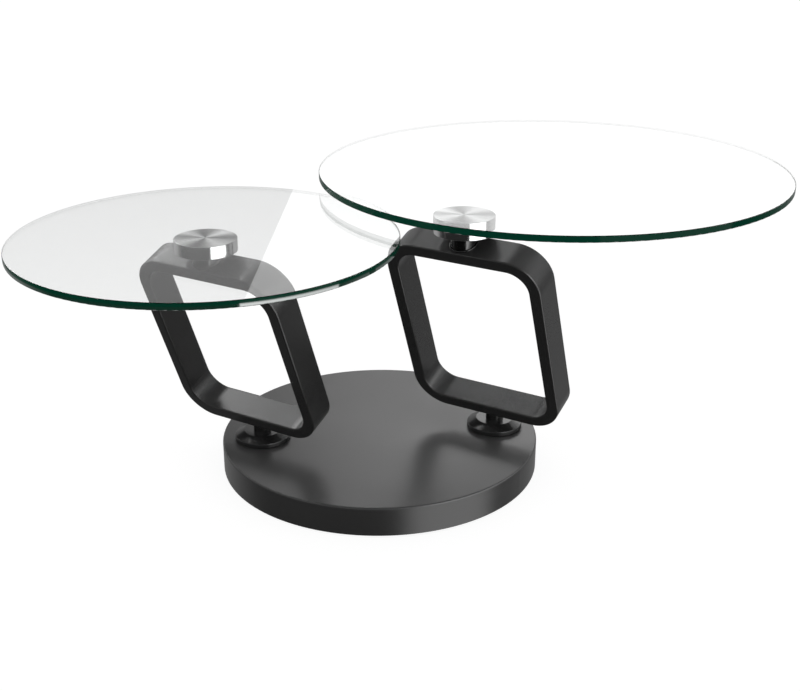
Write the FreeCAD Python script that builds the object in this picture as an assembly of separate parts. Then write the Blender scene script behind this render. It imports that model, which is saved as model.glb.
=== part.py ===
import FreeCAD, Part
import math
import os

# Swivel coffee table: a weighted round base carries two swivelling arms, and each arm
# carries a round glass top on its own swivel. Millimetres, +Z up. The origin is the
# centre of the base on the floor, and +X runs along the bars of both arm frames at rest.

# Clearances
running_gap = 0.05      # radial, journal in bush
seat_gap = 0.03         # radial, pressed, welded or screwed seat
housing_gap = 0.3       # radial, housing in the ballast and in the cover
end_play = 0.2          # axial, between a bush and its retaining washer

# Base
base_radius = 250.0
cover_height = 44.5
cover_wall = 2.0
cover_edge_radius = 3.0
cover_inner_edge_radius = 1.0
cover_floor_gap = 2.0
pad_inset = 11.5        # edge of the bottom plate to the edge of the pad
pad_thickness = 3.0
bottom_plate_thickness = 3.0
bottom_plate_gap = 0.5
ballast_gap = 2.0       # between the ballast and the rim blocks
ballast_thickness = 14.0

# Blocks inside the cover's wall, which the rim screws pull down on
rim_block_count = 6
rim_block_depth = 20.0
rim_block_width = 30.0
rim_block_height = 14.0
rim_block_first_angle = 15.0

# Screws
countersink_depth = 2.6
rim_screw_radius = 2.5
rim_screw_head_radius = 4.6
rim_screw_length = 13.0
ballast_screw_count = 4
ballast_screw_circle = 110.0
ballast_screw_radius = 3.0
ballast_screw_head_radius = 5.4
ballast_screw_length = 13.0
screw_tip_gap = 1.0
housing_screw_count = 4
housing_screw_circle = 33.0
housing_screw_radius = 2.5
housing_screw_head_radius = 4.25
housing_screw_head_height = 5.0
housing_screw_length = 10.0
housing_screw_socket = 4.0
housing_screw_socket_depth = 2.5

# Lower pivots, one each side of the base's centre
pivot_inset = 63.5      # from the edge of the base
pivot_angle = 38.0
housing_flange_radius = 38.0
housing_flange_thickness = 6.0
housing_collar_radius = 26.0
housing_spigot_radius = 22.0
housing_nose_length = 2.3
housing_fillet = 2.0
lower_bush_wall = 3.0
lower_bush_length = 10.0
lower_bush_lip_radius = 17.0
lower_bush_lip_thickness = 1.5
thrust_washer_radius = 40.0
thrust_washer_thickness = 1.5
thrust_washer_gap = 0.3

# Spindle, its cone and its locknut
journal_radius = 10.0
spindle_radius = 14.0
thread_radius = 6.0
thread_overrun = 1.0
shoulder_washer_radius = 17.0
shoulder_washer_thickness = 2.0
locknut_flats = 19.0
locknut_height = 6.0
locknut_chamfer = 1.0
cone_radius = 44.0
cone_rim_height = 6.0
cone_rim_edge_radius = 1.5
cone_top_radius = 29.5
cone_height = 13.2
cone_top_edge_radius = 0.8

# Arm frames: closed rings of rectangular hollow section, tilted about their lower bars
frame_tilt = 21.2       # degrees from upright, the tops towards -Y
frame_rise = 36.5       # top of the base to the centre of a lower bar's underside
frame_length = 254.0
frame_width = 49.0
frame_corner_radius = 52.0
frame_edge_radius = 2.5
frame_wall = 3.0
bar_thickness = 19.0
left_frame_height = 301.0
right_frame_height = 323.0
spindle_reach = 11.5    # centre of a lower bar's underside to the top of the spindle
spindle_boss_wall = 5.0
spigot_boss_wall = 5.0
vent_radius = 3.0
vent_inset = 5.0        # from the start of a corner

# Upper pivots: a neck welded into the top bar, and a pin that turns in it
neck_radius = 18.4
neck_edge_radius = 0.8
left_neck_height = 13.5
right_neck_height = 16.5
foot_radius = 21.0
foot_thickness = 2.4
foot_edge_radius = 1.2
spigot_radius = 12.0
spigot_depth = 12.0
pin_radius = 7.0
pin_grip = 12.0
pin_tip_gap = 0.3
pin_bush_wall = 1.5
pin_bush_length = 8.0
top_bush_length = 10.0
top_bush_lip_radius = 14.0
top_bush_lip_thickness = 1.5
retainer_washer_radius = 10.5
retainer_washer_thickness = 1.5
retainer_screw_radius = 2.5
retainer_screw_length = 12.0
retainer_screw_head_radius = 4.75
retainer_screw_head_height = 2.8
retainer_screw_head_rounding = 2.0
retainer_screw_socket = 3.0
retainer_screw_socket_depth = 1.6

# Discs and glass tops
disc_radius = 44.8
disc_thickness = 19.0
disc_edge_radius = 0.8
glass_thickness = 10.0
glass_edge_radius = 1.0
swing_gap = 11.7        # between the left glass and the right disc as the right arm turns
right_glass_radius = 381.0
right_glass_offset = 310.0
right_glass_angle = 91.0

# Heights of the base's layers
pad_top = pad_thickness
plate_top = pad_top + bottom_plate_thickness
ballast_top = plate_top + ballast_thickness
cover_top = cover_floor_gap + cover_height
cover_underside = cover_top - cover_wall
bottom_plate_radius = base_radius - cover_wall - bottom_plate_gap
rim_screw_circle = base_radius - cover_wall - rim_block_depth / 2
ballast_radius = base_radius - cover_wall - rim_block_depth - ballast_gap
pad_radius = bottom_plate_radius - pad_inset
pivot_circle = base_radius - pivot_inset

# Heights along a lower pivot
housing_bottom = ballast_top - housing_nose_length
bush_bore = journal_radius + running_gap
bush_radius = bush_bore + lower_bush_wall
housing_bore = bush_radius + seat_gap
lip_underside = housing_bottom - lower_bush_lip_thickness
journal_bottom = lip_underside - end_play
locknut_top = journal_bottom - shoulder_washer_thickness
spindle_bottom = locknut_top - locknut_height - thread_overrun
thrust_top = cover_top + thrust_washer_thickness
frame_foot = cover_top + frame_rise
spindle_top = frame_foot + spindle_reach

# Radii and slope in the upper pivots and the tilted bars
pin_bush_bore = pin_radius + running_gap
pin_bush_radius = pin_bush_bore + pin_bush_wall
neck_bore = pin_bush_radius + seat_gap
tilt_slope = math.tan(math.radians(frame_tilt))


def at(radius, degrees, height=0.0):
    angle = math.radians(degrees)
    return FreeCAD.Vector(radius * math.cos(angle), radius * math.sin(angle), height)


def evenly(count, first=0.0):
    return [first + 360.0 * i / count for i in range(count)]


def cylinder(radius, bottom, top, place=FreeCAD.Vector()):
    base = FreeCAD.Vector(place.x, place.y, bottom)
    return Part.makeCylinder(radius, top - bottom, base)


def tube(radius, bore, bottom, top):
    return cylinder(radius, bottom, top).cut(cylinder(bore, bottom, top))


def lathe(outline):
    # Turns an outline of (radius, height) points about the Z axis
    points = [FreeCAD.Vector(radius, 0, height) for radius, height in outline]
    face = Part.Face(Part.makePolygon(points + points[:1]))
    return face.revolve(FreeCAD.Vector(), FreeCAD.Vector(0, 0, 1), 360)


def round_rims(solid, rounding, rims):
    # Rounds the circular edges at the given (radius, height) places
    picked = []
    for edge in solid.Edges:
        if not isinstance(edge.Curve, Part.Circle):
            continue
        for radius, height in rims:
            near_radius = abs(edge.Curve.Radius - radius) < 0.01
            if near_radius and abs(edge.Curve.Center.z - height) < 0.01:
                picked.append(edge)
    return solid.makeFillet(rounding, picked)


def hexagon(flats, bottom, top):
    corners = [at(flats / math.sqrt(3), degrees, bottom) for degrees in evenly(6)]
    face = Part.Face(Part.makePolygon(corners + corners[:1]))
    return face.extrude(FreeCAD.Vector(0, 0, top - bottom))


def moved(solid, place):
    return solid.translated(FreeCAD.Vector(place.x, place.y, 0))


def save(name, *solids):
    shape = solids[0] if len(solids) == 1 else Part.makeCompound(list(solids))
    shape.exportStep("parts/" + name + ".step")


def pivot_place(side):
    return at(pivot_circle, pivot_angle) * side


def screw_places(circle, count, first=0.0):
    return [at(circle, degrees) for degrees in evenly(count, first)]


rim_screw_places = screw_places(rim_screw_circle, rim_block_count, rim_block_first_angle)
ballast_screw_places = screw_places(ballast_screw_circle, ballast_screw_count)
housing_screw_places = screw_places(housing_screw_circle, housing_screw_count, pivot_angle + 45.0)


def base_cover():
    inner_radius = base_radius - cover_wall
    outside = cylinder(base_radius, cover_floor_gap, cover_top)
    outside = round_rims(outside, cover_edge_radius, [(base_radius, cover_top)])
    inside = cylinder(inner_radius, cover_floor_gap, cover_underside)
    inside = round_rims(inside, cover_inner_edge_radius, [(inner_radius, cover_underside)])
    cover = outside.cut(inside)
    hole_radius = housing_spigot_radius + housing_gap
    for side in (-1, 1):
        hole = cylinder(hole_radius, cover_underside, cover_top, pivot_place(side))
        cover = cover.cut(hole)
    return cover


def countersunk_screw(radius, head_radius, length):
    neck = pad_top + countersink_depth
    tip = pad_top + length
    return lathe([(0, pad_top), (head_radius, pad_top), (radius, neck), (radius, tip), (0, tip)])


def countersunk_hole(radius, head_radius):
    return countersunk_screw(radius + seat_gap, head_radius + seat_gap, bottom_plate_thickness)


def bottom_plate():
    plate = cylinder(bottom_plate_radius, pad_top, plate_top)
    rim_hole = countersunk_hole(rim_screw_radius, rim_screw_head_radius)
    ballast_hole = countersunk_hole(ballast_screw_radius, ballast_screw_head_radius)
    for place in rim_screw_places:
        plate = plate.cut(moved(rim_hole, place))
    for place in ballast_screw_places:
        plate = plate.cut(moved(ballast_hole, place))
    return plate


def ballast_plate():
    ballast = cylinder(ballast_radius, plate_top, ballast_top)
    bore = cylinder(housing_spigot_radius + housing_gap, plate_top, ballast_top)
    screw_end = pad_top + ballast_screw_length + screw_tip_gap
    tapped = cylinder(ballast_screw_radius + seat_gap, plate_top, screw_end)
    screw_start = ballast_top - housing_screw_length - screw_tip_gap
    tapped_housing = cylinder(housing_screw_radius + seat_gap, screw_start, ballast_top)
    for place in ballast_screw_places:
        ballast = ballast.cut(moved(tapped, place))
    for side in (-1, 1):
        ballast = ballast.cut(moved(bore, pivot_place(side)))
        for place in housing_screw_places:
            ballast = ballast.cut(moved(tapped_housing, pivot_place(side) + place))
    return ballast


def rim_block(place, degrees):
    wall_radius = base_radius - cover_wall
    block_top = plate_top + rim_block_height
    ring = tube(wall_radius, wall_radius - rim_block_depth, plate_top, block_top)
    corner = FreeCAD.Vector(0, -rim_block_width / 2, plate_top)
    slab = Part.makeBox(base_radius, rim_block_width, rim_block_height, corner)
    slab.rotate(FreeCAD.Vector(), FreeCAD.Vector(0, 0, 1), degrees)
    hole_end = pad_top + rim_screw_length + screw_tip_gap
    hole = cylinder(rim_screw_radius + seat_gap, plate_top, hole_end, place)
    return ring.common(slab).cut(hole)


def pivot_housing():
    flange_top = ballast_top + housing_flange_thickness
    outline = [
        (housing_bore, housing_bottom),
        (housing_spigot_radius, housing_bottom),
        (housing_spigot_radius, ballast_top),
        (housing_flange_radius, ballast_top),
        (housing_flange_radius, flange_top),
        (housing_collar_radius, flange_top),
        (housing_collar_radius, cover_underside),
        (housing_spigot_radius, cover_underside),
        (housing_spigot_radius, cover_top),
        (housing_bore, cover_top),
    ]
    housing = round_rims(lathe(outline), housing_fillet, [(housing_collar_radius, flange_top)])
    hole = cylinder(housing_screw_radius + seat_gap, ballast_top, flange_top)
    for place in housing_screw_places:
        housing = housing.cut(moved(hole, place))
    return housing


def housing_screw():
    seat = ballast_top + housing_flange_thickness
    top = seat + housing_screw_head_height
    tip = ballast_top - housing_screw_length
    outline = [
        (0, tip),
        (housing_screw_radius, tip),
        (housing_screw_radius, seat),
        (housing_screw_head_radius, seat),
        (housing_screw_head_radius, top),
        (0, top),
    ]
    return lathe(outline).cut(hexagon(housing_screw_socket, top - housing_screw_socket_depth, top))


def lower_bush():
    top = housing_bottom + lower_bush_length
    outline = [
        (bush_bore, lip_underside),
        (lower_bush_lip_radius, lip_underside),
        (lower_bush_lip_radius, housing_bottom),
        (bush_radius, housing_bottom),
        (bush_radius, top),
        (bush_bore, top),
    ]
    return lathe(outline)


def upper_bush():
    return tube(bush_radius, bush_bore, cover_top - lower_bush_length, cover_top)


def thrust_washer():
    return tube(thrust_washer_radius, journal_radius + thrust_washer_gap, cover_top, thrust_top)


def spindle():
    outline = [
        (0, spindle_bottom),
        (thread_radius, spindle_bottom),
        (thread_radius, journal_bottom),
        (journal_radius, journal_bottom),
        (journal_radius, thrust_top),
        (spindle_radius, thrust_top),
        (spindle_radius, spindle_top),
        (0, spindle_top),
    ]
    return lathe(outline)


def spindle_cone():
    bore = spindle_radius + seat_gap
    rim_top = thrust_top + cone_rim_height
    cone_top = thrust_top + cone_height
    outline = [
        (bore, thrust_top),
        (cone_radius, thrust_top),
        (cone_radius, rim_top),
        (cone_top_radius, cone_top),
        (bore, cone_top),
    ]
    cone = round_rims(lathe(outline), cone_rim_edge_radius, [(cone_radius, rim_top)])
    return round_rims(cone, cone_top_edge_radius, [(cone_top_radius, cone_top)])


def shoulder_washer():
    bore = thread_radius + running_gap
    return tube(shoulder_washer_radius, bore, locknut_top, journal_bottom)


def locknut():
    bottom = locknut_top - locknut_height
    corner_radius = locknut_flats / math.sqrt(3)
    turned = cylinder(corner_radius, bottom, locknut_top)
    turned = round_rims(turned, locknut_chamfer, [(corner_radius, bottom), (corner_radius, locknut_top)])
    nut = hexagon(locknut_flats, bottom, locknut_top).common(turned)
    return nut.cut(cylinder(thread_radius + seat_gap, bottom, locknut_top))


def tilted(solid, height):
    # Tips a solid built upright, about the bar axis at the given height
    return solid.rotated(FreeCAD.Vector(0, 0, height), FreeCAD.Vector(1, 0, 0), frame_tilt)


def frame_top(height):
    # Centre of the top bar's upper face, from the foot of the pivot axis
    angle = math.radians(frame_tilt)
    return FreeCAD.Vector(0, -height * math.sin(angle), frame_foot + height * math.cos(angle))


def ring_block(height, inset, width):
    # Upright rounded block, set in from the outside of the frame all round
    length = frame_length - 2 * inset
    corner = FreeCAD.Vector(-length / 2, -width / 2, frame_foot + inset)
    block = Part.makeBox(length, width, height - 2 * inset, corner)
    corners = [edge for edge in block.Edges if edge.BoundBox.YLength > width / 2]
    return block.makeFillet(frame_corner_radius - inset, corners)


def face_edges(solid, depth):
    # Edges that lie wholly in one of the planes y = depth and y = -depth
    picked = []
    for edge in solid.Edges:
        box = edge.BoundBox
        if box.YLength < 0.01 and abs(abs(box.YMin) - depth) < 0.01:
            picked.append(edge)
    return picked


def arm_frame(height):
    outside = ring_block(height, 0, frame_width)
    ring = outside.cut(ring_block(height, bar_thickness, frame_width))
    ring = ring.makeFillet(frame_edge_radius, face_edges(ring, frame_width / 2))
    hollow_width = frame_width - 2 * frame_wall
    hollow = ring_block(height, frame_wall, hollow_width)
    core = ring_block(height, bar_thickness - frame_wall, hollow_width)
    frame = ring.cut(hollow.cut(core))
    vent_reach = frame_length / 2 - frame_corner_radius - vent_inset
    for side in (-1, 1):
        vent_place = FreeCAD.Vector(side * vent_reach, 0, 0)
        frame = frame.cut(cylinder(vent_radius, frame_foot, frame_foot + frame_wall, vent_place))
    frame = tilted(frame, frame_foot)
    bars = tilted(ring, frame_foot)
    top = frame_top(height)
    spindle_bore = spindle_radius + seat_gap
    spigot_bore = spigot_radius + seat_gap
    lower = (frame_foot - bar_thickness, frame_foot + 2 * bar_thickness)
    upper = (top.z - 2 * bar_thickness, top.z + bar_thickness)
    spindle_boss = cylinder(spindle_bore + spindle_boss_wall, *lower).common(bars)
    spigot_boss = cylinder(spigot_bore + spigot_boss_wall, *upper, top).common(bars)
    frame = frame.fuse([spindle_boss, spigot_boss])
    frame = frame.cut(cylinder(spindle_bore, lower[0], spindle_top))
    frame = frame.cut(cylinder(spigot_bore, *upper, top))
    return frame.removeSplitter()


def left_glass_radius():
    # As large as clears the right disc wherever the right arm stands
    right_swing = frame_top(right_frame_height)
    left_axis = pivot_place(-1) + frame_top(left_frame_height)
    reach = math.hypot(pivot_place(1).x - left_axis.x, pivot_place(1).y - left_axis.y)
    return reach - abs(right_swing.y) - disc_radius - swing_gap


def neck(top, height):
    # Upright neck on a foot that follows the tilted bar, with a spigot down into the bar
    seat_drop = neck_radius * tilt_slope
    body = cylinder(neck_radius, top - seat_drop, top + height)
    body = round_rims(body, neck_edge_radius, [(neck_radius, top + height)])
    corner = FreeCAD.Vector(-foot_radius, -2 * foot_radius, top - 2 * foot_radius)
    bar = Part.makeBox(2 * foot_radius, 4 * foot_radius, 2 * foot_radius, corner)
    body = body.cut(tilted(bar, top))
    foot = cylinder(foot_radius, top, top + foot_thickness)
    foot = round_rims(foot, foot_edge_radius, [(foot_radius, top + foot_thickness)])
    spigot = cylinder(spigot_radius, top - spigot_depth, top + seat_drop)
    solid = body.fuse([tilted(foot, top), spigot])
    return solid.cut(cylinder(neck_bore, top - spigot_depth, top + height)).removeSplitter()


def top_bush(neck_top):
    outline = [
        (pin_bush_bore, neck_top - top_bush_length),
        (pin_bush_radius, neck_top - top_bush_length),
        (pin_bush_radius, neck_top),
        (top_bush_lip_radius, neck_top),
        (top_bush_lip_radius, neck_top + top_bush_lip_thickness),
        (pin_bush_bore, neck_top + top_bush_lip_thickness),
    ]
    return lathe(outline)


def pin_bush(top):
    bottom = top - spigot_depth
    return tube(pin_bush_radius, pin_bush_bore, bottom, bottom + pin_bush_length)


def pin_bottom(top):
    return top - spigot_depth - end_play


def swivel_pin(top, underside):
    pin = cylinder(pin_radius, pin_bottom(top), underside + pin_grip)
    hole_end = pin_bottom(top) + retainer_screw_length + screw_tip_gap
    return pin.cut(cylinder(retainer_screw_radius + seat_gap, pin_bottom(top), hole_end))


def retainer_washer(top):
    seat = pin_bottom(top)
    bore = retainer_screw_radius + housing_gap
    return tube(retainer_washer_radius, bore, seat - retainer_washer_thickness, seat)


def retainer_screw(top):
    seat = pin_bottom(top) - retainer_washer_thickness
    head_bottom = seat - retainer_screw_head_height
    tip = pin_bottom(top) + retainer_screw_length
    outline = [
        (0, head_bottom),
        (retainer_screw_head_radius, head_bottom),
        (retainer_screw_head_radius, seat),
        (retainer_screw_radius, seat),
        (retainer_screw_radius, tip),
        (0, tip),
    ]
    rim = (retainer_screw_head_radius, head_bottom)
    screw = round_rims(lathe(outline), retainer_screw_head_rounding, [rim])
    socket_top = head_bottom + retainer_screw_socket_depth
    return screw.cut(hexagon(retainer_screw_socket, head_bottom, socket_top))


def disc(underside):
    top = underside + disc_thickness
    turned = cylinder(disc_radius, underside, top)
    turned = round_rims(turned, disc_edge_radius, [(disc_radius, underside), (disc_radius, top)])
    return turned.cut(cylinder(pin_radius + seat_gap, underside, underside + pin_grip + pin_tip_gap))


def glass_top(underside, radius):
    top = underside + glass_thickness
    rims = [(radius, underside), (radius, top)]
    return round_rims(cylinder(radius, underside, top), glass_edge_radius, rims)


def build_base():
    save("base_cover", base_cover())
    save("bottom_plate", bottom_plate())
    save("ballast_plate", ballast_plate())
    save("floor_pad", cylinder(pad_radius, 0, pad_top))
    angles = evenly(rim_block_count, rim_block_first_angle)
    save("rim_blocks", *[rim_block(p, a) for p, a in zip(rim_screw_places, angles)])
    rim_screw = countersunk_screw(rim_screw_radius, rim_screw_head_radius, rim_screw_length)
    save("rim_screws", *[moved(rim_screw, place) for place in rim_screw_places])
    ballast_screw = countersunk_screw(
        ballast_screw_radius, ballast_screw_head_radius, ballast_screw_length
    )
    save("ballast_screws", *[moved(ballast_screw, place) for place in ballast_screw_places])
    screws = [
        moved(housing_screw(), pivot_place(side) + place)
        for side in (-1, 1)
        for place in housing_screw_places
    ]
    save("housing_screws", *screws)


def build_lower_pivot(name, place):
    save(name + "_pivot_housing", moved(pivot_housing(), place))
    save(name + "_upper_bush", moved(upper_bush(), place))
    save(name + "_lower_bush", moved(lower_bush(), place))
    save(name + "_thrust_washer", moved(thrust_washer(), place))


def build_arm(name, place, height, neck_height):
    top = frame_top(height)
    save(name + "_spindle", moved(spindle(), place))
    save(name + "_spindle_cone", moved(spindle_cone(), place))
    save(name + "_shoulder_washer", moved(shoulder_washer(), place))
    save(name + "_locknut", moved(locknut(), place))
    save(name + "_frame", moved(arm_frame(height), place))
    save(name + "_neck", moved(neck(top.z, neck_height), place + top))
    save(name + "_top_bush", moved(top_bush(top.z + neck_height), place + top))
    save(name + "_pin_bush", moved(pin_bush(top.z), place + top))


def build_top(name, place, top, neck_height, glass_radius, glass_place):
    underside = top + neck_height + top_bush_lip_thickness
    save(name + "_swivel_pin", moved(swivel_pin(top, underside), place))
    save(name + "_retainer_washer", moved(retainer_washer(top), place))
    save(name + "_retainer_screw", moved(retainer_screw(top), place))
    save(name + "_disc", moved(disc(underside), place))
    glass = glass_top(underside + disc_thickness, glass_radius)
    save(name + "_glass", moved(glass, place + glass_place))


def build_side(name, side, height, neck_height, glass_radius, glass_place):
    place = pivot_place(side)
    top = frame_top(height)
    build_lower_pivot(name, place)
    build_arm(name, place, height, neck_height)
    build_top(name, place + top, top.z, neck_height, glass_radius, glass_place)


os.makedirs("parts", exist_ok=True)
build_base()
build_side(
    "left",
    -1,
    left_frame_height,
    left_neck_height,
    left_glass_radius(),
    FreeCAD.Vector(),
)
build_side(
    "right",
    1,
    right_frame_height,
    right_neck_height,
    right_glass_radius,
    at(right_glass_offset, right_glass_angle),
)
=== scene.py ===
import math

import bpy
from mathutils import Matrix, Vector


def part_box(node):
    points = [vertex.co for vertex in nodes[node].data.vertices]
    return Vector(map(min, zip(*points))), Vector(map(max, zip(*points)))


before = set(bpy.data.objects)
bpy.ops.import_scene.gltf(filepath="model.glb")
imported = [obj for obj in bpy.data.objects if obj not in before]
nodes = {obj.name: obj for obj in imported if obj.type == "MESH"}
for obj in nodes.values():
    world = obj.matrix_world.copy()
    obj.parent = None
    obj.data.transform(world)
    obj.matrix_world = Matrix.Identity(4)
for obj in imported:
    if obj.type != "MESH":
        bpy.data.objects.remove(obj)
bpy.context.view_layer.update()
print("frame loaded,", len(nodes), "nodes")


# Helpers that place a shader node and feed its sockets with links or plain values

def feed(tree, socket, value):
    if isinstance(value, bpy.types.NodeSocket):
        tree.links.new(value, socket)
    else:
        socket.default_value = value


def addNode(tree, kind, spot, feeds=None, **settings):
    node = tree.nodes.new(kind)
    node.location = spot
    for key, value in settings.items():
        setattr(node, key, value)
    for label, value in (feeds or {}).items():
        feed(tree, node.inputs[label], value)
    return node


def addMath(tree, operation, spot, *values):
    node = addNode(tree, "ShaderNodeMath", spot, dict(enumerate(values)), operation=operation)
    return node.outputs[0]


def addMix(tree, spot, factor, first, second, **settings):
    feeds = {"Factor": factor, "A": first, "B": second}
    return addNode(tree, "ShaderNodeMix", spot, feeds, **settings).outputs["Result"]


def addRange(tree, spot, value, fromRange, toRange=(0.0, 1.0), **settings):
    feeds = {
        "Value": value,
        "From Min": fromRange[0],
        "From Max": fromRange[1],
        "To Min": toRange[0],
        "To Max": toRange[1],
    }
    return addNode(tree, "ShaderNodeMapRange", spot, feeds, **settings).outputs["Result"]


def grey(level, tint=(1.0, 1.0, 1.0)):
    return (level * tint[0], level * tint[1], level * tint[2], 1.0)


def addRamp(tree, spot, factor, steps):
    node = addNode(tree, "ShaderNodeValToRGB", spot, {"Fac": factor})
    ramp = node.color_ramp
    ramp.interpolation = "EASE"
    while len(ramp.elements) < len(steps):
        ramp.elements.new(0.5)
    for element, step in zip(ramp.elements, steps):
        element.position = step[0]
    for element, step in zip(ramp.elements, steps):    # a new position can change their order
        element.color = grey(step[1])
    return node.outputs["Color"]


def addSplit(tree, spot, vector):
    return addNode(tree, "ShaderNodeSeparateXYZ", spot, {0: vector}).outputs


def addFromAxis(tree, spot, vector, axisPlace):
    away = addNode(tree, "ShaderNodeVectorMath", spot, {0: vector, 1: axisPlace}, operation="SUBTRACT")
    return addSplit(tree, (spot[0] + 150, spot[1]), away.outputs[0])


# Shader groups that several finishes share

effectOutputs = [
    ("Color", "NodeSocketColor"),
    ("Roughness", "NodeSocketFloat"),
    ("Height", "NodeSocketFloat"),
]


def newGroup(name, inputs):
    group = bpy.data.node_groups.new(name, "ShaderNodeTree")
    for label, kind, value in inputs:
        socket = group.interface.new_socket(name=label, in_out="INPUT", socket_type=kind)
        if value is not None:
            socket.default_value = value
    for label, kind in effectOutputs:
        group.interface.new_socket(name=label, in_out="OUTPUT", socket_type=kind)
    return group, addNode(group, "NodeGroupInput", (-900, 0)).outputs


def endGroup(group, start, spot, tone, gloss, glossRange, height):
    color = addMix(group, spot, tone, start["Dark Tone"], start["Light Tone"], data_type="RGBA")
    lowHigh = (start["Low Roughness"], start["High Roughness"])
    rough = addRange(group, (spot[0], spot[1] - 300), gloss, glossRange, lowHigh)
    addNode(group, "NodeGroupOutput", (550, 0), {"Color": color, "Roughness": rough, "Height": height})


# Powder coat: fine grain, a wider orange peel in the height, and slow clouds in tone and gloss
powderEffect = {
    "grainDetail": 2.0,
    "peelScale": 260.0,
    "peelDetail": 2.0,
    "cloudScale": 7.0,
    "cloudDetail": 3.0,
    "grainInTone": 0.45,
    "cloudInTone": 0.55,
    "grainInHeight": 0.6,
    "peelInHeight": 0.4,
    "glossRange": (0.3, 0.7),
}


def makePowderGroup(effect):
    group, start = newGroup("powderCoat", [
        ("Vector", "NodeSocketVector", None),
        ("Light Tone", "NodeSocketColor", (0.05, 0.05, 0.05, 1)),
        ("Dark Tone", "NodeSocketColor", (0.03, 0.03, 0.03, 1)),
        ("Grain Scale", "NodeSocketFloat", 900.0),
        ("Low Roughness", "NodeSocketFloat", 0.3),
        ("High Roughness", "NodeSocketFloat", 0.4),
    ])

    def addCloud(spot, scale, detail):
        feeds = {"Vector": start["Vector"], "Scale": scale, "Detail": detail}
        return addNode(group, "ShaderNodeTexNoise", spot, feeds).outputs["Fac"]

    grain = addCloud((-700, 200), start["Grain Scale"], effect["grainDetail"])
    peel = addCloud((-700, 0), effect["peelScale"], effect["peelDetail"])
    cloud = addCloud((-700, -200), effect["cloudScale"], effect["cloudDetail"])
    cloudPart = addMath(group, "MULTIPLY", (-500, -80), cloud, effect["cloudInTone"])
    blend = addMath(group, "MULTIPLY_ADD", (-300, 0), grain, effect["grainInTone"], cloudPart)
    peelPart = addMath(group, "MULTIPLY", (-100, -360), peel, effect["peelInHeight"])
    height = addMath(group, "MULTIPLY_ADD", (100, -300), grain, effect["grainInHeight"], peelPart)
    endGroup(group, start, (100, 200), blend, blend, effect["glossRange"], height)
    return group


# Turned metal: fine lines that run round the axis, on faces and on sides alike
turnedEffect = {
    "lineScale": 1.0,
    "lineDetail": 4.0,
    "glossRange": (0.3, 0.7),
}


def makeTurnedGroup(effect):
    group, start = newGroup("turnedLines", [
        ("Vector", "NodeSocketVector", None),
        ("Axis Place", "NodeSocketVector", (0, 0, 0)),
        ("Lines", "NodeSocketFloat", 2500.0),
        ("Light Tone", "NodeSocketColor", (0.9, 0.9, 0.9, 1)),
        ("Dark Tone", "NodeSocketColor", (0.7, 0.7, 0.7, 1)),
        ("Low Roughness", "NodeSocketFloat", 0.2),
        ("High Roughness", "NodeSocketFloat", 0.3),
    ])
    parts = addFromAxis(group, (-700, 100), start["Vector"], start["Axis Place"])
    squareX = addMath(group, "MULTIPLY", (-400, 180), parts["X"], parts["X"])
    squareY = addMath(group, "MULTIPLY", (-400, 20), parts["Y"], parts["Y"])
    total = addMath(group, "ADD", (-250, 100), squareX, squareY)
    radius = addMath(group, "SQRT", (-120, 100), total)
    along = addMath(group, "ADD", (0, 100), radius, parts["Z"])
    count = addMath(group, "MULTIPLY", (120, 100), along, start["Lines"])
    feeds = {"W": count, "Scale": effect["lineScale"], "Detail": effect["lineDetail"]}
    line = addNode(group, "ShaderNodeTexNoise", (240, 100), feeds, noise_dimensions="1D").outputs["Fac"]
    endGroup(group, start, (400, 200), line, line, effect["glossRange"], line)
    return group


powderGroup = makePowderGroup(powderEffect)
turnedGroup = makeTurnedGroup(turnedEffect)
print("shader groups made")


# Materials and where they go

def startMaterial(name):
    material = bpy.data.materials.new(name)
    material.use_nodes = True
    tree = material.node_tree
    surface = tree.nodes["Principled BSDF"]
    place = addNode(tree, "ShaderNodeTexCoord", (-900, 0)).outputs
    return material, tree, surface, place


def setSurface(surface, values):
    for label, value in values.items():
        surface.inputs[label].default_value = value


def plugGroup(tree, surface, place, group, values, bumpDepth):
    feeds = {"Vector": place["Object"], **values}
    effect = addNode(tree, "ShaderNodeGroup", (-600, 0), feeds, node_tree=group).outputs
    bumpFeeds = {"Distance": bumpDepth, "Strength": 1.0, "Height": effect["Height"]}
    bump = addNode(tree, "ShaderNodeBump", (-250, -250), bumpFeeds)
    feed(tree, surface.inputs["Base Color"], effect["Color"])
    feed(tree, surface.inputs["Roughness"], effect["Roughness"])
    feed(tree, surface.inputs["Normal"], bump.outputs["Normal"])


def powderMaterial(name, look):
    material, tree, surface, place = startMaterial(name)
    values = {
        "Light Tone": grey(look["light"]),
        "Dark Tone": grey(look["dark"]),
        "Grain Scale": look["grainScale"],
        "Low Roughness": look["roughness"][0],
        "High Roughness": look["roughness"][1],
    }
    plugGroup(tree, surface, place, powderGroup, values, look["bumpDepth"])
    setSurface(surface, {"Specular IOR Level": look["specular"]})
    return material


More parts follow.
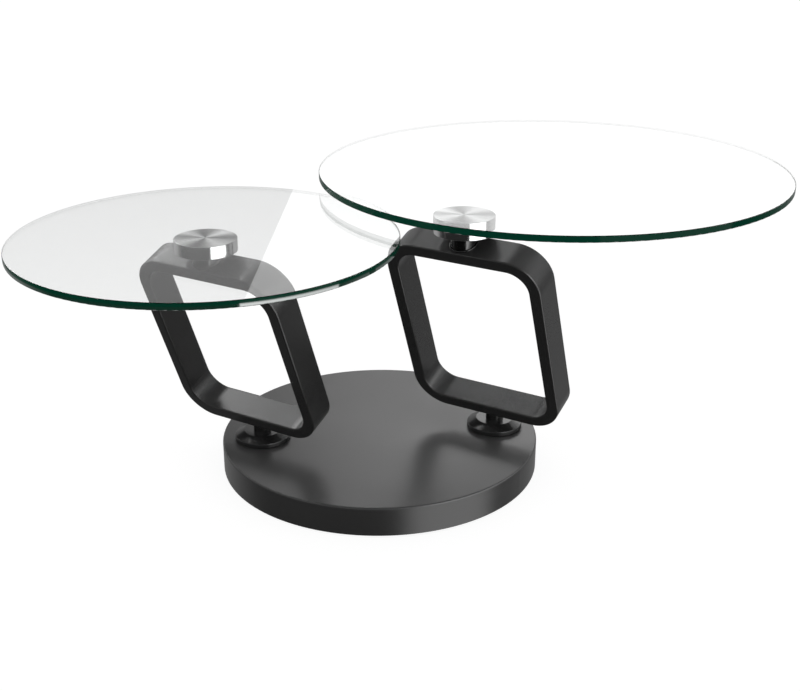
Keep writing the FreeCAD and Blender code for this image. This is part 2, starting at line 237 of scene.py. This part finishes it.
def turnedMaterial(name, look, axisPlace=(0, 0, 0)):
    material, tree, surface, place = startMaterial(name)
    tint = look.get("tint", (1.0, 1.0, 1.0))
    values = {
        "Axis Place": axisPlace,
        "Lines": look["lines"],
        "Light Tone": grey(look["light"], tint),
        "Dark Tone": grey(look["dark"], tint),
        "Low Roughness": look["roughness"][0],
        "High Roughness": look["roughness"][1],
    }
    plugGroup(tree, surface, place, turnedGroup, values, look["bumpDepth"])
    setSurface(surface, {"Metallic": 1.0})
    # painted highlights: light and dark wedges multiplied into the disc's base colour
    if "paintedHighlightWedges" in look:
        addPaintedHighlightWedges(tree, surface, place, look["paintedHighlightWedges"], axisPlace)
    if "anisotropic" in look:
        brush = addNode(tree, "ShaderNodeTangent", (-250, -450), direction_type="RADIAL", axis="Z")
        feed(tree, surface.inputs["Tangent"], brush.outputs["Tangent"])
        setSurface(surface, {"Anisotropic": look["anisotropic"], "Anisotropic Rotation": look["brushTurn"]})
    return material


# Painted highlights and painted shade: multiplies the base colour by a fan of light and dark wedges round
# the axis, a painted reflection of the brushing
def addPaintedHighlightWedges(tree, surface, place, paintedHighlightWedges, axisPlace):
    parts = addFromAxis(tree, (-900, 400), place["Object"], axisPlace)
    angle = addMath(tree, "ARCTAN2", (-600, 400), parts["Y"], parts["X"])
    turns = addMath(tree, "DIVIDE", (-450, 400), angle, 2 * math.pi)
    share = addMath(tree, "FRACT", (-300, 400), turns)
    paintedHighlightFan = addRamp(tree, (-200, 400), share, [(degrees / 360, level) for degrees, level in paintedHighlightWedges])
    plainTone = surface.inputs["Base Color"].links[0].from_socket
    tone = addMix(tree, (100, 400), 1.0, plainTone, paintedHighlightFan, data_type="RGBA", blend_type="MULTIPLY")
    feed(tree, surface.inputs["Base Color"], tone)


def useMaterial(material, *names):
    for name in names:
        piece = nodes[name]
        piece.data.materials.clear()
        piece.data.materials.append(material)


def addSideMaterial(name, material, steepness):
    mesh = nodes[name].data    # faces steeper than this take the side's material
    mesh.materials.append(material)
    for face in mesh.polygons:
        face.material_index = 1 if abs(face.normal.z) < steepness else 0


def bothSides(*names):
    return [side + "_" + name for side in ("left", "right") for name in names]


def axisOf(name):
    low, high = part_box(name)
    middle = (low + high) / 2
    return (middle.x, middle.y, 0.0)


# Satin powder coat on the base
baseCoat = {
    "light": 0.062,
    "dark": 0.044,
    "grainScale": 1400.0,
    "roughness": (0.27, 0.35),
    "specular": 0.59,
    "bumpDepth": 0.00002,
}
useMaterial(powderMaterial("satinBaseCoat", baseCoat), "base_cover")

# Darker satin coat on both arms
armCoat = {
    "light": 0.038,
    "dark": 0.024,
    "grainScale": 1400.0,
    "roughness": (0.25, 0.33),
    "specular": 0.6,
    "bumpDepth": 0.00002,
}
useMaterial(powderMaterial("satinArmCoat", armCoat), *bothSides("frame"))

# Near-black coat on the cones at the arms' feet
coneCoat = {
    "light": 0.020,
    "dark": 0.012,
    "grainScale": 1400.0,
    "roughness": (0.20, 0.26),
    "specular": 0.6,
    "bumpDepth": 0.00001,
}
useMaterial(powderMaterial("satinConeCoat", coneCoat), *bothSides("spindle_cone"))

# Under the base: coated plate, cast ballast and rubber pad
plateCoat = {
    "light": 0.06,
    "dark": 0.04,
    "grainScale": 1100.0,
    "roughness": (0.5, 0.6),
    "specular": 0.4,
    "bumpDepth": 0.00003,
}
useMaterial(powderMaterial("bottomPlateCoat", plateCoat), "bottom_plate")

ballastIron = {
    "light": 0.17,
    "dark": 0.10,
    "grainScale": 500.0,
    "roughness": (0.6, 0.75),
    "specular": 0.4,
    "bumpDepth": 0.00012,
}
useMaterial(powderMaterial("castBallast", ballastIron), "ballast_plate")

padRubber = {
    "light": 0.035,
    "dark": 0.022,
    "grainScale": 700.0,
    "roughness": (0.7, 0.85),
    "specular": 0.3,
    "bumpDepth": 0.00005,
}
useMaterial(powderMaterial("padRubber", padRubber), "floor_pad")

# Plastic bushes and washers in the pivots
bushPlastic = {
    "light": 0.72,
    "dark": 0.62,
    "grainScale": 900.0,
    "roughness": (0.35, 0.45),
    "specular": 0.5,
    "bumpDepth": 0.00001,
}
useMaterial(powderMaterial("bushPlastic", bushPlastic), *bothSides("upper_bush", "lower_bush", "pin_bush"))

washerPlastic = {
    "light": 0.025,
    "dark": 0.016,
    "grainScale": 900.0,
    "roughness": (0.4, 0.5),
    "specular": 0.5,
    "bumpDepth": 0.00001,
}
useMaterial(powderMaterial("washerPlastic", washerPlastic), *bothSides("thrust_washer", "top_bush"))
print("coats and plastics made")


# Spun aluminium discs: brushed round the axis, with painted highlights. A fan of light and dark wedges is
# multiplied into the base colour and fixed to the disc, standing in for the bow-tie reflections of the
# brushing
discFace = {
    "light": 0.97,
    "dark": 0.78,
    "lines": 9000.0,
    "roughness": (0.26, 0.34),
    "bumpDepth": 0.000002,
    "anisotropic": 0.95,
    "brushTurn": 0.25,
    # painted highlights: light wedges stand in for the bow-tie reflections, dark wedges for the shade
    # between them
    "paintedHighlightWedges": (    # degrees round the axis, and the share of the tone there
        (0, 0.74), (36, 0.15), (84, 1.0), (136, 0.17), (175, 1.0),
        (200, 0.30), (236, 0.95), (287, 0.20), (340, 1.0), (360, 0.74),
    ),
}

# Their polished sides
discSide = {
    "light": 0.86,
    "dark": 0.78,
    "lines": 2500.0,
    "roughness": (0.10, 0.16),
    "bumpDepth": 0.000001,
    "steepness": 0.7,
}

# Dark polished necks under the discs
neckPolish = {
    "light": 0.11,
    "dark": 0.08,
    "lines": 3000.0,
    "roughness": (0.16, 0.24),
    "bumpDepth": 0.0000015,
}

# Dark spindles at the arms' feet
spindlePolish = {
    "light": 0.10,
    "dark": 0.07,
    "lines": 3000.0,
    "roughness": (0.16, 0.24),
    "bumpDepth": 0.000002,
}

# Plain turned steel of the pivot housings and swivel pins
turnedSteel = {
    "light": 0.56,
    "dark": 0.44,
    "lines": 3000.0,
    "roughness": (0.25, 0.38),
    "bumpDepth": 0.000006,
}

for side in ("left", "right"):
    disc = side + "_disc"
    discAxis = axisOf(disc)
    armAxis = axisOf(side + "_spindle")
    # the disc face's material carries the painted highlight wedges
    useMaterial(turnedMaterial(side + "SpunAluminiumPaintedHighlights", discFace, discAxis), disc)
    discSideMetal = turnedMaterial(side + "TurnedAluminium", discSide, discAxis)
    addSideMaterial(disc, discSideMetal, discSide["steepness"])
    useMaterial(turnedMaterial(side + "DarkPolish", neckPolish, discAxis), side + "_neck")
    useMaterial(turnedMaterial(side + "SpindleSteel", spindlePolish, armAxis), side + "_spindle")
    useMaterial(turnedMaterial(side + "HousingSteel", turnedSteel, armAxis), side + "_pivot_housing")
    useMaterial(turnedMaterial(side + "PinSteel", turnedSteel, discAxis), side + "_swivel_pin")

# Zinc-plated fasteners and blocks
zincPlate = {
    "light": 0.62,
    "dark": 0.50,
    "tint": (0.98, 0.99, 1.0),
    "lines": 900.0,
    "roughness": (0.30, 0.42),
    "bumpDepth": 0.000004,
}
zincSteel = turnedMaterial("zincSteel", zincPlate)
useMaterial(zincSteel, "rim_blocks", "rim_screws", "ballast_screws", "housing_screws")
useMaterial(zincSteel, *bothSides("shoulder_washer", "locknut"))

# Blackened washers and screws that hold the discs
blackOxide = {
    "light": 0.05,
    "dark": 0.03,
    "lines": 2500.0,
    "roughness": (0.25, 0.35),
    "bumpDepth": 0.000004,
}
useMaterial(turnedMaterial("blackSteel", blackOxide), *bothSides("retainer_washer", "retainer_screw"))
print("metals made")


# Clear tempered glass: clear faces on both panes
glassFace = {
    "light": (0.994, 1.0, 1.0, 1.0),
    "dark": (0.990, 1.0, 0.996, 1.0),
    "cloudScale": 5.0,
    "roughness": 0.0,
    "ior": 1.42,
}

# Their deep green edge, with a polish on the lower part of the left pane's edge
glassEdge = {
    "light": (0.006, 0.095, 0.054, 1.0),
    "dark": (0.002, 0.060, 0.034, 1.0),
    "lines": 1400.0,
    "roughness": (0.05, 0.12),
    "bumpDepth": 0.000001,
    "ior": 1.38,
    "specular": 0.06,
    "alphaInside": 0.22,
    "steepness": 0.6,
    "polish": {"left": 1.0, "right": 0.0},
    "polishEnds": (0.35, 0.60),    # shares of the pane's thickness, over which the polish fades
    "polishIor": 3.0,
    "polishRoughness": 0.06,
}


def glassFaceMaterial(look):
    material, tree, surface, place = startMaterial("clearGlass")
    feeds = {"Vector": place["Object"], "Scale": look["cloudScale"]}
    cloud = addNode(tree, "ShaderNodeTexNoise", (-650, 0), feeds)
    tone = addMix(tree, (-300, 0), cloud.outputs["Fac"], look["dark"], look["light"], data_type="RGBA")
    feed(tree, surface.inputs["Base Color"], tone)
    setSurface(surface, {"Roughness": look["roughness"], "Transmission Weight": 1.0, "IOR": look["ior"]})
    return material


def glassEdgeMaterial(look, side):
    material, tree, surface, place = startMaterial(side + "GreenGlassEdge")
    values = {
        "Lines": look["lines"],
        "Light Tone": look["light"],
        "Dark Tone": look["dark"],
        "Low Roughness": look["roughness"][0],
        "High Roughness": look["roughness"][1],
    }
    plugGroup(tree, surface, place, turnedGroup, values, look["bumpDepth"])
    inside = addNode(tree, "ShaderNodeNewGeometry", (-650, -500)).outputs["Backfacing"]
    alpha = addRange(tree, (-300, -500), inside, (0.0, 1.0), (1.0, look["alphaInside"]))
    feed(tree, surface.inputs["Alpha"], alpha)
    rise = addSplit(tree, (-650, -700), place["Generated"])["Z"]
    polish = addRange(tree, (-300, -700), rise, look["polishEnds"], (look["polish"][side], 0.0))
    feed(tree, surface.inputs["Coat Weight"], polish)
    setSurface(surface, {
        "Coat IOR": look["polishIor"],
        "Coat Roughness": look["polishRoughness"],
        "IOR": look["ior"],
        "Specular IOR Level": look["specular"],
    })
    return material


clearGlass = glassFaceMaterial(glassFace)
for side in ("left", "right"):
    glass = side + "_glass"
    useMaterial(clearGlass, glass)
    addSideMaterial(glass, glassEdgeMaterial(glassEdge, side), glassEdge["steepness"])
    nodes[glass].visible_shadow = False
    nodes[glass].visible_diffuse = False

# The bonded disc sits a hair below the glass so that light finds its face
discBond = {
    "gap": 0.00006,
}
for disc in bothSides("disc"):
    bond = nodes[disc].modifiers.new("bondGap", "DISPLACE")
    bond.strength = -discBond["gap"]
    bond.mid_level = 0.0
print("glass made")


# Studio pieces and their materials

def addPlate(name, corners):
    mesh = bpy.data.meshes.new(name)
    mesh.from_pydata(corners, [], [(0, 1, 2, 3)])
    plate = bpy.data.objects.new(name, mesh)
    bpy.context.scene.collection.objects.link(plate)
    return plate


def clearTree(owner):
    owner.use_nodes = True
    owner.node_tree.nodes.clear()
    return owner.node_tree


def rectangle(across, up):
    return [(across[0], up[0]), (across[1], up[0]), (across[1], up[1]), (across[0], up[1])]


# The floor: white to the camera and through the glass, with a faint shadow
floorLook = {
    "size": 14.0,
    "level": -0.0005,
    "tone": 0.20,
    "glow": 0.90,
    "shade": 0.20,
}


def makeFloor(look):
    half = look["size"] / 2
    corners = [(x, y, look["level"]) for x, y in rectangle((-half, half), (-half, half))]
    floor = addPlate("studioFloor", corners)
    material = bpy.data.materials.new("floorWhite")
    tree = clearTree(material)
    rays = addNode(tree, "ShaderNodeLightPath", (-600, 300)).outputs
    seen = addMath(tree, "MAXIMUM", (-350, 300), rays["Is Camera Ray"], rays["Is Transmission Ray"])
    lit = addNode(tree, "ShaderNodeBsdfDiffuse", (-100, 0), {"Color": grey(look["tone"])}).outputs[0]
    white = addNode(tree, "ShaderNodeEmission", (-350, -150), {"Strength": look["glow"]}).outputs[0]
    shade = addNode(tree, "ShaderNodeBsdfDiffuse", (-350, -300), {"Color": grey(look["shade"])}).outputs[0]
    pale = addNode(tree, "ShaderNodeAddShader", (-100, -200), {0: white, 1: shade}).outputs[0]
    mix = addNode(tree, "ShaderNodeMixShader", (100, 0), {0: seen, 1: lit, 2: pale}).outputs[0]
    addNode(tree, "ShaderNodeOutputMaterial", (300, 0), {"Surface": mix})
    floor.data.materials.append(material)
    floor.visible_glossy = False


# The surround: white to the camera and, low down, through the glass, and soft grey light for the table
surroundLook = {
    "ahead": (-0.5213, 0.8534, 0.0),    # level direction from the camera over the table
    "plain": 0.60,
    "rise": ((0.36, 0.46), (0.46, 0.62), (0.54, 0.62), (0.70, 0.12)),    # height of the ray, and level
    "horizon": (-0.08, 0.08),
    "below": (0.02, 0.34),    # level under the horizon, beside the table and ahead
    "belowEnds": (-0.1, 0.6),
    "whiteThroughGlass": (0.17, 0.10),
}
heading = Vector(surroundLook["ahead"]).normalized()
sideways = Vector((heading.y, -heading.x, 0.0))


def makeSurround(look):
    world = bpy.data.worlds.new("softSurround")
    bpy.context.scene.world = world
    tree = clearTree(world)
    place = addNode(tree, "ShaderNodeTexCoord", (-1100, 0)).outputs["Generated"]
    height = addSplit(tree, (-900, 0), place)["Z"]
    rise = addRamp(tree, (-700, 100), height, look["rise"])
    horizon = addRange(tree, (-700, -200), height, look["horizon"], interpolation_type="SMOOTHSTEP")
    facingFeeds = {0: place, 1: heading}
    facing = addNode(tree, "ShaderNodeVectorMath", (-900, -300), facingFeeds, operation="DOT_PRODUCT")
    ahead = facing.outputs["Value"]
    belowEnds = look["belowEnds"]
    below = addRange(tree, (-700, -400), ahead, belowEnds, look["below"], interpolation_type="SMOOTHSTEP")
    level = addMix(tree, (-500, 0), horizon, below, rise)
    rays = addNode(tree, "ShaderNodeLightPath", (-900, 400)).outputs
    shiny = addMath(tree, "MAXIMUM", (-700, 500), rays["Is Glossy Ray"], rays["Is Transmission Ray"])
    strength = addMix(tree, (-300, 0), shiny, look["plain"], level)
    aroundFeeds = {"Color": grey(1.0), "Strength": strength}
    around = addNode(tree, "ShaderNodeBackground", (0, 0), aroundFeeds).outputs[0]
    white = addNode(tree, "ShaderNodeBackground", (0, -150), {"Color": grey(1.0)}).outputs[0]
    low = addRange(tree, (-500, 400), height, look["whiteThroughGlass"])
    through = addMath(tree, "MULTIPLY", (-300, 400), rays["Is Transmission Ray"], low)
    seen = addMath(tree, "MAXIMUM", (-100, 300), rays["Is Camera Ray"], through)
    mix = addNode(tree, "ShaderNodeMixShader", (200, 0), {0: seen, 1: around, 2: white}).outputs[0]
    addNode(tree, "ShaderNodeOutputWorld", (400, 0), {"Surface": mix})


# Glowing cards that only reflections see. Each glow runs from the card's low X to its high X,
# over the ends given or the whole card. Clear glass shows a card with inGlass at that level.
backCards = {    # upright behind the table, by how far across and up each corner is
    "backCard": {
        "corners": ((-0.244, 0.80), (1.90, 0.80), (1.90, 1.25), (-0.454, 1.25)),
        "away": 2.5,
        "glow": (1.15, 1.3),
    },
    "highCard": {
        "corners": ((-0.454, 1.25), (1.90, 1.25), (1.90, 1.62), (-0.627, 1.62)),
        "away": 2.5,
        "glow": (0.95, 3.4),
        "glowEnds": (0.07, 0.34),
        "inGlass": 1.15,
    },
}
roundCards = {    # round the table, by degrees from +X and height of the two ends
    "leftCard": {"turn": (154, 172), "up": (1.4, 5.2), "away": 3.0, "glow": (4.3, 4.3)},
    "topCard": {"turn": (116, 143), "up": (3.7, 5.8), "away": 3.0, "glow": (2.1, 2.1)},
    "rightCard": {"turn": (68, 88), "up": (1.8, 4.7), "away": 3.0, "glow": (3.2, 3.2), "inGlass": 1.0},
    "sideCard": {"turn": (14, 60), "up": (0.9, 3.2), "away": 3.0, "glow": (2.2, 2.2), "inGlass": 0.7},
    "frontCard": {"turn": (-38.5, 24), "up": (-3.0, 0.8), "away": 3.0, "glow": (2.5, 1.9)},
    "riseCard": {"turn": (-30, 14), "up": (0.8, 2.6), "away": 3.0, "glow": (5.0, 5.0), "inGlass": 0.6},
}


def behindTable(away, across, up):
    return heading * away + sideways * across + Vector((0, 0, up))


def roundTable(away, degrees, up):
    angle = math.radians(degrees)
    return Vector((away * math.cos(angle), away * math.sin(angle), up))


def addCard(name, corners, look):
    card = addPlate(name, corners)
    material = bpy.data.materials.new(name + "Glow")
    tree = clearTree(material)
    place = addNode(tree, "ShaderNodeTexCoord", (-800, 0)).outputs["Generated"]
    across = addSplit(tree, (-600, 0), place)["X"]
    strength = addRange(tree, (-400, 0), across, look.get("glowEnds", (0.0, 1.0)), look["glow"])
    if "inGlass" in look:
        rays = addNode(tree, "ShaderNodeLightPath", (-400, 300)).outputs
        strength = addMix(tree, (-200, 100), rays["Is Singular Ray"], strength, look["inGlass"])
    glow = addNode(tree, "ShaderNodeEmission", (0, 0), {"Strength": strength}).outputs[0]
    addNode(tree, "ShaderNodeOutputMaterial", (200, 0), {"Surface": glow})
    card.data.materials.append(material)
    card.visible_camera = False
    card.visible_diffuse = False
    card.visible_shadow = False


makeFloor(floorLook)
makeSurround(surroundLook)
for name, look in backCards.items():
    addCard(name, [behindTable(look["away"], across, up) for across, up in look["corners"]], look)
for name, look in roundCards.items():
    ends = rectangle(look["turn"], look["up"])
    addCard(name, [roundTable(look["away"], turn, up) for turn, up in ends], look)
print("studio made")


# Camera
cameraLook = {
    "place": (0.9436, -1.4826, 0.9093),
    "tilt": 67.86,
    "turn": 31.42,
    "lens": 54.66,
    "sensorWidth": 36.0,
}
camera = bpy.data.objects.new("tableCamera", bpy.data.cameras.new("tableCamera"))
bpy.context.scene.collection.objects.link(camera)
camera.location = cameraLook["place"]
camera.rotation_euler = (math.radians(cameraLook["tilt"]), 0, math.radians(cameraLook["turn"]))
camera.data.lens = cameraLook["lens"]
camera.data.sensor_width = cameraLook["sensorWidth"]
bpy.context.scene.camera = camera
bpy.context.scene.view_settings.view_transform = "Standard"
print("camera set")
